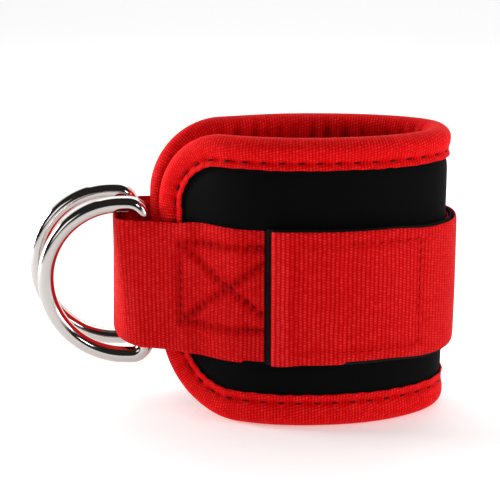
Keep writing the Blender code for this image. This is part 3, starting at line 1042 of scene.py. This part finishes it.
def make_ring(name, node, body, joint):
    """A D-ring of smooth round wire on its joint's axis."""
    x, y, z = JOINTS[joint]["pos_m"]
    corner = RING_CORNER_RADIUS
    half = RING_HALF_HEIGHT
    leg = RING_REACH - half
    turns = np.linspace(0.0, math.pi / 2, RING_CORNER_POINTS)
    upper = np.stack((corner * (np.cos(turns) - 1), half + corner * (np.sin(turns) - 1)), axis=1)
    turns = np.linspace(0.0, math.pi, RING_ARC_POINTS)
    arc = np.stack((-leg - half * np.sin(turns), half * np.cos(turns)), axis=1)
    line = np.vstack((upper, arc, upper[::-1] * (1, -1)))
    out = outward_of(np.vstack((line[-1:], line, line[:1])))[1:-1]
    turn = np.arange(WIRE_SIDES + 1) / WIRE_SIDES * 2 * math.pi
    around = turn * WIRE_RADIUS
    turn = turn[:-1]
    across = WIRE_RADIUS * np.cos(turn)[None, :, None] * out[:, None, :]
    flat = line[:, None, :] + across
    depth = np.broadcast_to(WIRE_RADIUS * np.sin(turn), flat.shape[:2])
    rings = np.stack((x + flat[..., 0], y + depth, z + flat[..., 1]), axis=-1)
    distance = lengths_along(np.vstack((line, line[:1])))
    piece = sweep(name, rings, distance, around, closed=True)
    dress(piece, body, "ring_steel", node)


# Materials


def add_node(tree, kind, inputs=(), **settings):
    """A node with its settings; inputs holds values and links by socket name or number."""
    node = tree.nodes.new(kind)
    for name, value in settings.items():
        setattr(node, name, value)
    for socket, value in dict(inputs).items():
        if isinstance(value, bpy.types.NodeSocket):
            tree.links.new(value, node.inputs[socket])
        else:
            node.inputs[socket].default_value = value
    return node


class Shader:
    """A material's node tree, built step by step."""

    def __init__(self, name, colour, roughness):
        self.material = bpy.data.materials.new(name)
        self.material.use_nodes = True
        self.tree = self.material.node_tree
        self.surface = self.tree.nodes["Principled BSDF"]
        self.set("Base Color", (*colour, 1.0))
        self.set("Roughness", roughness)

    def set(self, socket, value):
        self.surface.inputs[socket].default_value = value

    def node(self, kind, inputs=(), **settings):
        return add_node(self.tree, kind, inputs, **settings)

    def math(self, operation, first, second=0.0):
        return self.node("ShaderNodeMath", {0: first, 1: second}, operation=operation).outputs[0]

    def total(self, *parts):
        """The sum of several values, each given with its weight."""
        sums = [self.math("MULTIPLY", value, weight) for value, weight in parts]
        while len(sums) > 1:
            sums[:2] = [self.math("ADD", sums[0], sums[1])]
        return sums[0]

    def stray(self, place, scale, reach):
        """A place moved a little to either side, in patches of the given scale."""
        return self.total((place, 1.0), (self.math("SUBTRACT", self.noise(scale), 0.5), reach))

    def weave_place(self):
        """Distances along and across the cloth, in metres."""
        place = self.node("ShaderNodeUVMap", uv_map="weave").outputs[0]
        split = self.node("ShaderNodeSeparateXYZ", {0: place})
        return split.outputs[0], split.outputs[1]

    def noise(self, scale, detail=2.0, roughness=0.5):
        place = self.node("ShaderNodeTexCoord").outputs["Object"]
        return self.node("ShaderNodeTexNoise", {
            "Vector": place, "Scale": scale, "Detail": detail, "Roughness": roughness,
        }).outputs["Fac"]

    def ramp(self, factor, *stops):
        ramp = self.node("ShaderNodeValToRGB", {0: factor})
        elements = ramp.color_ramp.elements
        while len(elements) < len(stops):
            elements.new(0.5)
        for element, (position, colour) in zip(elements, stops):
            element.position = position
            element.color = (*colour, 1.0)
        return ramp.outputs["Color"]

    def link(self, output, socket):
        self.tree.links.new(output, self.surface.inputs[socket])

    def bump(self, height, distance, strength=1.0, normal=None):
        inputs = {"Height": height, "Distance": distance, "Strength": strength}
        if normal is not None:
            inputs["Normal"] = normal
        return self.node("ShaderNodeBump", inputs).outputs[0]


# Ribbed weave: how it strays, how flat its ribs are, and what its red tone is made up of: painted
# shade and highlight from the weave's relief, and random tone from fibres, patches and beads
RIB_STRAY_SCALE = 55.0
BEAD_STRAY_SCALE = 160.0
STRAY_REACH = 0.7
RIB_FLATNESS = 0.5
FIBRE_SCALE = 2400.0
PATCH_SCALE = 28.0
WEAVE_SHADING_SHARE = 0.74
FIBRE_SHARE = 0.16
PATCH_SHARE = 0.14
BEAD_VARIETY = 0.15
FIBRE_RELIEF = 0.00005
RED = (0.56, 0.002, 0.003)
# The low stops are painted shade in the weave's gaps and along seams; the top stop is a painted
# highlight on the beads, paler in green and blue
RED_STOPS = (
    (0.00, (0.10, 0.000, 0.001)), (0.25, (0.42, 0.000, 0.001)), (0.50, (0.53, 0.001, 0.001)),
    (0.72, (0.62, 0.004, 0.005)), (0.96, (0.80, 0.026, 0.030)),
)
RED_SHEEN = {"Sheen Weight": 0.20, "Sheen Roughness": 0.35, "Sheen Tint": (1.0, 0.04, 0.05, 1.0)}


def ribbed_weave(shader, rib_pitch, bead_pitch, wander, slant, beading):
    """Height of a ribbed weave, 0 to 1, and a chance value for each of its beads.

    The ribs run across the tape, each a row of beads. The beads of each rib lie `slant` beads
    further across than those of the rib before. `beading` is how deep the gaps between them are.
    """
    along, across = shader.weave_place()
    along = shader.stray(along, RIB_STRAY_SCALE, wander)
    across = shader.stray(across, BEAD_STRAY_SCALE, wander)
    ribs = shader.math("MULTIPLY", along, math.pi / rib_pitch)
    rib = shader.math("ABSOLUTE", shader.math("SINE", ribs))
    number = shader.math("FLOOR", shader.math("DIVIDE", ribs, math.pi))
    beads = shader.total((across, math.pi / bead_pitch), (number, math.pi * slant))
    bead = shader.math("ABSOLUTE", shader.math("SINE", beads))
    tall = shader.math("ADD", shader.math("MULTIPLY", bead, beading), 1.0 - beading)
    row = shader.math("FLOOR", shader.math("DIVIDE", beads, math.pi))
    cell = shader.node("ShaderNodeCombineXYZ", {0: number, 1: row}).outputs[0]
    chance = shader.node("ShaderNodeTexWhiteNoise", {0: cell}).outputs["Value"]
    return shader.math("MULTIPLY", shader.math("POWER", rib, RIB_FLATNESS), tall), chance


def webbing_material(name, rib_pitch, bead_pitch, slant, beading, relief, seam_shade, tone):
    """Red ribbed weave, with painted shade in its gaps and along its seams and a painted highlight on
    its beads.
    """
    shader = Shader(name, RED, 0.70)
    wander = rib_pitch * STRAY_REACH
    height, chance = ribbed_weave(shader, rib_pitch, bead_pitch, wander, slant, beading)
    fibre = shader.noise(FIBRE_SCALE, 3.0, 0.6)
    patches = shader.noise(PATCH_SCALE)
    # Painted shade stored on the mesh, and painted highlight where it is below 0
    pull = shader.node("ShaderNodeAttribute", attribute_name="pull").outputs["Fac"]
    # Colour level: painted shade and highlight from the weave's height, random tone from fibres,
    # patches and beads, and painted shade along the seams
    level = shader.total((height, WEAVE_SHADING_SHARE), (fibre, FIBRE_SHARE), (patches, PATCH_SHARE),
                         (chance, BEAD_VARIETY), (pull, -seam_shade))
    level = shader.math("SUBTRACT", level, BEAD_VARIETY / 2)
    stops = [(position, (red * tone, green, blue)) for position, (red, green, blue) in RED_STOPS]
    shader.link(shader.ramp(level, *stops), "Base Color")
    normal = shader.bump(fibre, FIBRE_RELIEF, 0.5)
    shader.link(shader.bump(height, relief, 1.0, normal), "Normal")
    for socket, value in RED_SHEEN.items():
        shader.set(socket, value)
    shader.set("Specular IOR Level", 0.04)
    return shader.material


def thread_material(name, dark, light):
    """Twisted sewing thread."""
    shader = Shader(name, dark, 0.60)
    twist = shader.noise(5200.0, 2.0, 0.5)
    shader.link(shader.ramp(twist, (0.3, dark), (0.7, light)), "Base Color")
    shader.link(shader.bump(twist, 0.00008, 0.8), "Normal")
    shader.set("Specular IOR Level", 0.10)
    return shader.material


def knit_material(name, colour, light, scale, relief):
    """Matte black cloth with a fine even grain and faint large patches."""
    shader = Shader(name, colour, 0.88)
    grain = shader.noise(scale, 3.0, 0.6)
    patches = shader.noise(22.0, 3.0, 0.5)
    level = shader.total((grain, 0.6), (patches, 0.4))
    shader.link(shader.ramp(level, (0.3, colour), (0.75, light)), "Base Color")
    shader.link(shader.bump(grain, relief, 0.8), "Normal")
    shader.set("Specular IOR Level", 0.05)
    shader.set("Sheen Weight", 0.01)
    shader.set("Sheen Roughness", 0.5)
    return shader.material


def steel_material():
    """Bright plating with faint scuffs."""
    shader = Shader("plated_steel", (0.50, 0.47, 0.45), 0.07)
    shader.set("Metallic", 1.0)
    scuffs = shader.noise(420.0, 6.0, 0.65)
    haze = shader.ramp(scuffs, (0.35, (0.05,) * 3), (0.75, (0.13,) * 3))
    shader.link(haze, "Roughness")
    shader.link(shader.bump(shader.noise(900.0, 4.0), 0.000004, 0.5), "Normal")
    return shader.material


MATERIALS = {
    "webbing": webbing_material("red_webbing", rib_pitch=0.0016, bead_pitch=0.0010, slant=0.40,
                                beading=0.40, relief=0.00020, seam_shade=0.49, tone=1.0),
    "binding": webbing_material("red_binding", rib_pitch=0.0011, bead_pitch=0.0010, slant=0.26,
                                beading=0.42, relief=0.00011, seam_shade=0.50, tone=1.2),
    # Darker than the tail's thread: painted shade of the box seams' sunken stitches
    "thread": thread_material("red_seam_thread", (0.12, 0.001, 0.001), (0.26, 0.002, 0.003)),
    # Much darker than the tail's thread: painted shade of the binding's sunken stitches
    "dark_thread": thread_material("dark_red_thread", (0.05, 0.000, 0.000), (0.13, 0.001, 0.001)),
    "bright_thread": thread_material("red_thread", (0.40, 0.002, 0.003), (0.60, 0.004, 0.006)),
    "neoprene": knit_material("black_neoprene", (0.0014,) * 3, (0.0024,) * 3,
                              scale=3000.0, relief=0.00003),
    "lining": knit_material("black_lining", (0.0050,) * 3, (0.0110,) * 3,
                            scale=1500.0, relief=0.00010),
    "foam": knit_material("grey_foam", (0.045,) * 3, (0.090,) * 3, scale=900.0, relief=0.00020),
    "loop_tape": knit_material("black_loop_pile", (0.0040, 0.0045, 0.0048), (0.016, 0.018, 0.019),
                               scale=1800.0, relief=0.00030),
    "hook_tape": knit_material("black_hooks", (0.0030,) * 3, (0.009,) * 3,
                               scale=1400.0, relief=0.00040),
    "ring_steel": steel_material(),
}


# Studio


CAMERA_PLACE = (0.0, -0.520, 0.199)
CAMERA_PITCH = math.radians(15.1)
CAMERA_LENS = 102.0
FLOOR_REACH = 12.0
WALL_TILT = math.radians(52)
WALL_TURN = math.radians(-30)
WALL_REACH = math.radians(66)
WALL_BLUR = math.radians(6)
WALL_LIGHT = 0.03
ROOM_LIGHT = 1.35
FLOOR_GLOW = 0.32
LIGHT_AIM = (0.0, 0.0, 0.05)
# Soft boxes: name, place, what it faces, its two sides and its power
SOFT_BOXES = (
    ("top_softbox", (0.0, 0.45, 0.85), LIGHT_AIM, (0.9, 0.5), 2.6),
    ("left_softbox", (-0.82, 0.20, 0.22), LIGHT_AIM, (0.3, 0.4), 9.0),
    ("left_front_softbox", (-0.62, -0.62, 0.30), LIGHT_AIM, (0.25, 0.3), 0.4),
    ("right_softbox", (0.75, -0.42, 0.35), LIGHT_AIM, (0.3, 0.4), 2.0),
    ("key_softbox", (0.42, -0.90, 0.62), LIGHT_AIM, (0.20, 0.20), 1.0),
    ("backdrop_softbox", (0.0, 1.75, 0.90), (0.0, 1.75, 0.0), (2.4, 0.8), 2.6),
)


def make_floor():
    """A pale floor that glows a little, so that it looks like a lit white sweep."""
    reach = FLOOR_REACH
    corners = [(-reach, -reach, 0), (reach, -reach, 0), (reach, reach, 0), (-reach, reach, 0)]
    floor = new_mesh("studio_floor", corners, [(0, 1, 2, 3)])
    shader = Shader("pale_floor", (0.95, 0.95, 0.95), 0.9)
    shader.set("Emission Color", (1.0, 1.0, 1.0, 1.0))
    shader.set("Emission Strength", FLOOR_GLOW)
    floor.data.materials.append(shader.material)


def make_camera():
    data = bpy.data.cameras.new("studio_camera")
    data.lens = CAMERA_LENS
    camera = add_object("studio_camera", data)
    camera.location = (CAMERA_PLACE[0] + SHIFT[0], CAMERA_PLACE[1] + SHIFT[1], CAMERA_PLACE[2])
    camera.rotation_euler = (math.pi / 2 - CAMERA_PITCH, 0.0, 0.0)
    bpy.context.scene.camera = camera


def make_light(name, place, target, size, power):
    data = bpy.data.lights.new(name, "AREA")
    data.shape = "RECTANGLE"
    data.size, data.size_y = size
    data.energy = power
    light = add_object(name, data)
    light.location = place
    aim = Vector(target) - Vector(place)
    light.rotation_euler = aim.to_track_quat("-Z", "Y").to_euler()


def make_world():
    """A bright room with one dark wall behind the camera, which the rings mirror."""
    world = bpy.data.worlds.new("studio_world")
    world.use_nodes = True
    tree = world.node_tree
    across = math.cos(WALL_TILT)
    wall = (across * math.sin(WALL_TURN), -across * math.cos(WALL_TURN), math.sin(WALL_TILT))
    direction = add_node(tree, "ShaderNodeTexCoord").outputs["Generated"]
    facing = add_node(tree, "ShaderNodeVectorMath", {0: direction, 1: wall}, operation="DOT_PRODUCT")
    light = add_node(tree, "ShaderNodeMapRange", {
        "Value": facing.outputs["Value"],
        "From Min": math.cos(WALL_REACH + WALL_BLUR), "From Max": math.cos(WALL_REACH - WALL_BLUR),
        "To Min": ROOM_LIGHT, "To Max": WALL_LIGHT,
    }, interpolation_type="SMOOTHSTEP")
    background = tree.nodes["Background"].inputs
    tree.links.new(light.outputs["Result"], background["Strength"])
    background["Color"].default_value = (1.0, 1.0, 1.0, 1.0)
    bpy.context.scene.world = world


def make_studio():
    make_floor()
    make_world()
    for box in SOFT_BOXES:
        make_light(*box)
    bpy.context.scene.view_settings.view_transform = "Standard"


make_band()
make_binding()
make_binding_seams()
make_main_webbing()
make_tapes()
make_closure_strap()
make_box_seams()
make_ring("front_ring_wire", "front_d_ring", "front_ring", "front_ring_swing")
make_ring("rear_ring_wire", "rear_d_ring", "rear_ring", "rear_ring_swing")
make_studio()
make_camera()
